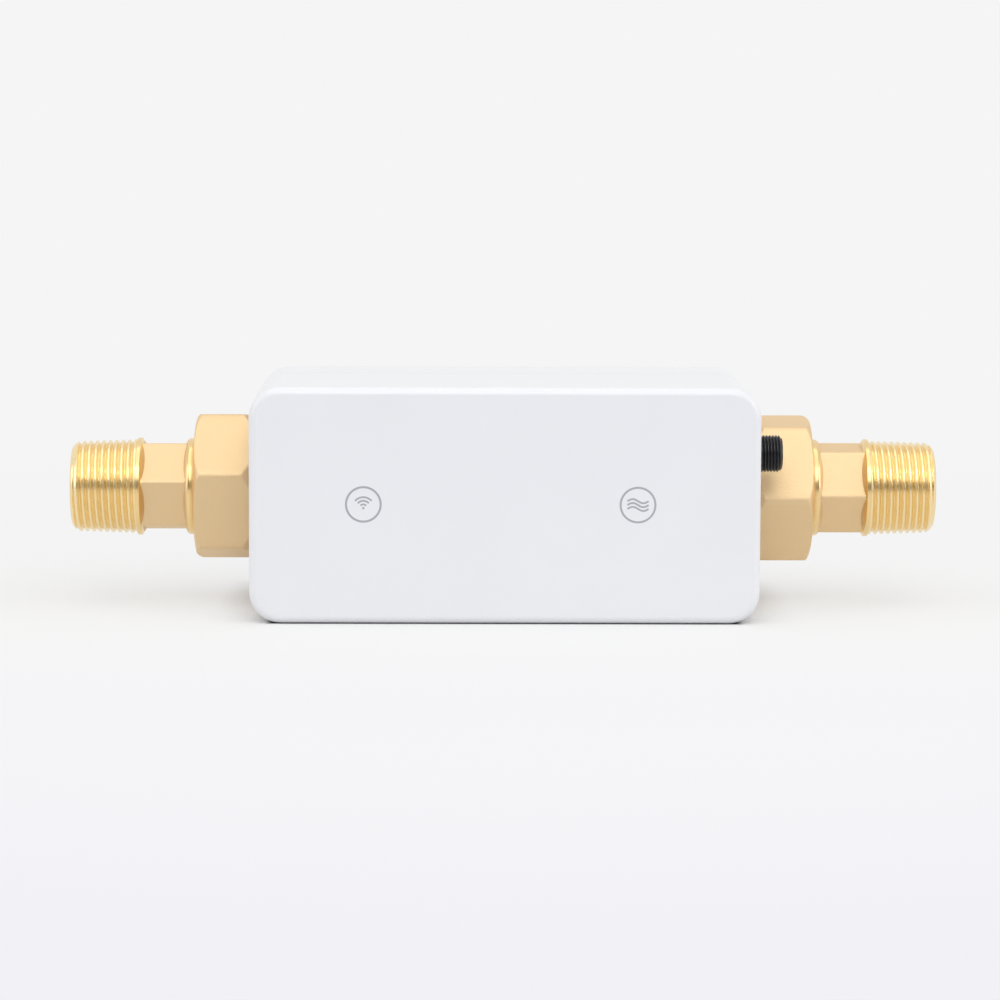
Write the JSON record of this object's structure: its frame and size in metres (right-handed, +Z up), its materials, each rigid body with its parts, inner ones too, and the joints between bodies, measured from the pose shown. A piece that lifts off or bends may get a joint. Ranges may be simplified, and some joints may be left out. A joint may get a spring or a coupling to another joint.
{
  "type": "smart water valve",
  "caption": "Motorised ball valve with a flow turbine in a white plastic housing on a brass pipe body with threaded union ends and a round power inlet.",
  "frame": {"origin": "middle of the housing's underside, on the surface it rests on", "axes": "+X along the pipe from inlet to outlet, -Y out of the front face, +Z up"},
  "size_m": [0.2412, 0.072, 0.064],
  "materials": {
    "housing_white": "satin gloss moulded",
    "seal_rubber": "matte",
    "brass_turned": "turned, bright",
    "brass_cast": "satin, forged and machined",
    "fibre_gasket": "matte",
    "zinc_steel": "zinc plated",
    "ball_plate": "hard chrome plated",
    "seat_white": "smooth fluoropolymer",
    "gear_ivory": "moulded acetal",
    "gear_grey": "moulded filled nylon",
    "case_grey": "moulded, matte",
    "turbine_blue": "moulded, matte",
    "board_green": "solder mask",
    "shield_tin": "tinned",
    "capacitor_sleeve": "satin",
    "terminal_green": "moulded",
    "sensor_black": "moulded epoxy",
    "electrode_copper": "plated",
    "led_lens": "clear moulded",
    "magnet_dark": "sintered",
    "motor_steel": "nickel plated",
    "armature_iron": "wound",
    "connector_black": "moulded, slightly glossy",
    "contact_gold": "plated",
    "lead_red": "insulation",
    "lead_black": "insulation",
    "ribbon_white": "flexible film"
  },
  "bodies": {
    "housing": {"front_cover": "housing_white", "rear_cover": "housing_white", "cover_seal": "seal_rubber", "cover_screws": "zinc_steel", "inlet_grommet": "seal_rubber", "outlet_grommet": "seal_rubber", "valve_body": "brass_cast", "outlet_end_piece": "brass_cast", "body_seal": "seal_rubber", "ball_seats": "seat_white", "turbine_inlet_guide": "turbine_blue", "turbine_outlet_guide": "turbine_blue", "snap_ring": "zinc_steel", "union_gaskets": "fibre_gasket", "gear_pins": "zinc_steel", "actuator_tray": "case_grey", "actuator_lid": "case_grey", "lid_screws": "zinc_steel", "tray_screws": "zinc_steel", "motor_can": "motor_steel", "motor_end_cap": "seat_white", "motor_magnets": "magnet_dark", "motor_screws": "zinc_steel", "main_board": "board_green", "board_screws": "zinc_steel", "radio_module": "shield_tin", "power_capacitor": "capacitor_sleeve", "terminal_blocks": "terminal_green", "touch_board": "board_green", "touch_pads": "electrode_copper", "indicator_leds": "led_lens", "flow_sensor_board": "board_green", "hall_sensors": "sensor_black", "position_board": "board_green", "power_connector": "connector_black", "connector_contacts": "contact_gold", "connector_seal": "seal_rubber", "connector_locknut": "connector_black", "power_leads": "lead_red", "motor_leads": "lead_black", "pin_headers": "contact_gold", "touch_ribbon": "ribbon_white"},
    "ball_drive": {"ball": "ball_plate", "stem": "brass_turned", "stem_rings": "seal_rubber", "output_gear": "gear_grey", "gear_screw": "zinc_steel", "position_magnet": "magnet_dark"},
    "second_gear_body": {"second_gear": "gear_ivory"},
    "first_gear_body": {"first_gear": "gear_ivory"},
    "motor_rotor": {"motor_armature": "armature_iron", "motor_shaft": "zinc_steel", "motor_pinion": "contact_gold"},
    "turbine": {"turbine_rotor": "seat_white", "turbine_shaft": "zinc_steel", "turbine_magnet": "magnet_dark"},
    "inlet_union": {"inlet_tailpiece": "brass_turned"},
    "inlet_nut": {"inlet_union_nut": "brass_cast"},
    "outlet_union": {"outlet_tailpiece": "brass_turned"},
    "outlet_nut": {"outlet_union_nut": "brass_cast"}
  },
  "joints": [
    {"name": "ball_turn", "type": "hinge", "parent": "housing", "child": "ball_drive", "pos_m": [0.027, 0.011, 0.032], "axis": [0, 1, 0], "range_deg": [0, 90]},
    {"name": "second_gear_turn", "type": "hinge", "parent": "housing", "child": "second_gear_body", "pos_m": [0.00373, -0.02, 0.02914], "axis": [0, 1, 0], "range_deg": [-300, 0]},
    {"name": "first_gear_turn", "type": "hinge", "parent": "housing", "child": "first_gear_body", "pos_m": [-0.01451, -0.024, 0.03967], "axis": [0, 1, 0], "range_deg": [0, 1200]},
    {"name": "motor_turn", "type": "hinge", "parent": "housing", "child": "motor_rotor", "pos_m": [-0.00639, -0.01, 0.05216], "axis": [0, 1, 0], "range_deg": [-5400, 0]},
    {"name": "turbine_spin", "type": "hinge", "parent": "housing", "child": "turbine", "pos_m": [-0.0405, 0.011, 0.032], "axis": [1, 0, 0], "continuous": true},
    {"name": "inlet_union_slide", "type": "slide", "parent": "housing", "child": "inlet_union", "axis": [-1, 0, 0], "range_m": [0, 0.00924]},
    {"name": "inlet_nut_turn", "type": "hinge", "parent": "inlet_union", "child": "inlet_nut", "pos_m": [-0.079, 0.011, 0.032], "axis": [-1, 0, 0], "range_deg": [0, 1440]},
    {"name": "outlet_union_slide", "type": "slide", "parent": "housing", "child": "outlet_union", "axis": [1, 0, 0], "range_m": [0, 0.00924]},
    {"name": "outlet_nut_turn", "type": "hinge", "parent": "outlet_union", "child": "outlet_nut", "pos_m": [0.079, 0.011, 0.032], "axis": [1, 0, 0], "range_deg": [0, 1440]}
  ],
  "couplings": [
    {"joint": "second_gear_turn", "follows": "ball_turn", "ratio": -3.3333},
    {"joint": "first_gear_turn", "follows": "ball_turn", "ratio": 13.333},
    {"joint": "motor_turn", "follows": "ball_turn", "ratio": -60},
    {"joint": "inlet_nut_turn", "follows": "inlet_union_slide", "rad_per_m": 2721.2},
    {"joint": "outlet_nut_turn", "follows": "outlet_union_slide", "rad_per_m": 2721.2}
  ]
}
